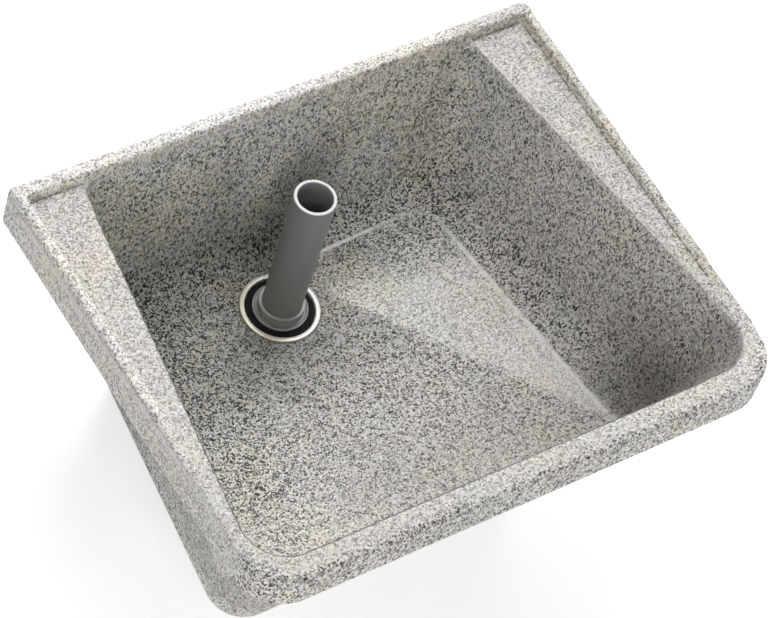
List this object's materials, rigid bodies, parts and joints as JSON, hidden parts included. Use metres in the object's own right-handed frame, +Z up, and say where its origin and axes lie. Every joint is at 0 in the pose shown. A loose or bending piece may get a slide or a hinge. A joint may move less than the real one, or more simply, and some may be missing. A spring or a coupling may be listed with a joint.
{
  "type": "mop service sink",
  "caption": "Low cast-stone mop sink with a sloping bowl, a raised splash lip, a hanging apron, a plinth, a screwed waste fitting and a lift-out overflow standpipe.",
  "frame": {"origin": "middle of the rim's outline, on the floor under the plinth", "axes": "+X to the right seen from the front, +Y to the back with the splash lip, +Z up"},
  "size_m": [0.6, 0.492, 0.303],
  "materials": {
    "cast_stone": "honed terrazzo, light grey with fine black, beige and faint green specks",
    "polished_steel": "polished",
    "black_rubber": "satin",
    "grey_plastic": "satin, with a pale cut end",
    "pale_plastic": "moulded",
    "brass": "machined"
  },
  "bodies": {
    "sink": {"basin": "cast_stone", "flange_gasket": "black_rubber", "waste_body": "polished_steel", "strainer": "polished_steel", "strainer_screw": "polished_steel", "bottom_washer": "black_rubber", "slip_ring": "pale_plastic", "backnut": "brass"},
    "overflow_plug": {"standpipe": "grey_plastic", "standpipe_socket": "grey_plastic", "plug_seal": "black_rubber"}
  },
  "joints": [
    {"name": "standpipe_lift", "type": "slide", "parent": "sink", "child": "overflow_plug", "axis": [0, 0, 1], "range_m": [0, 0.25]}
  ]
}
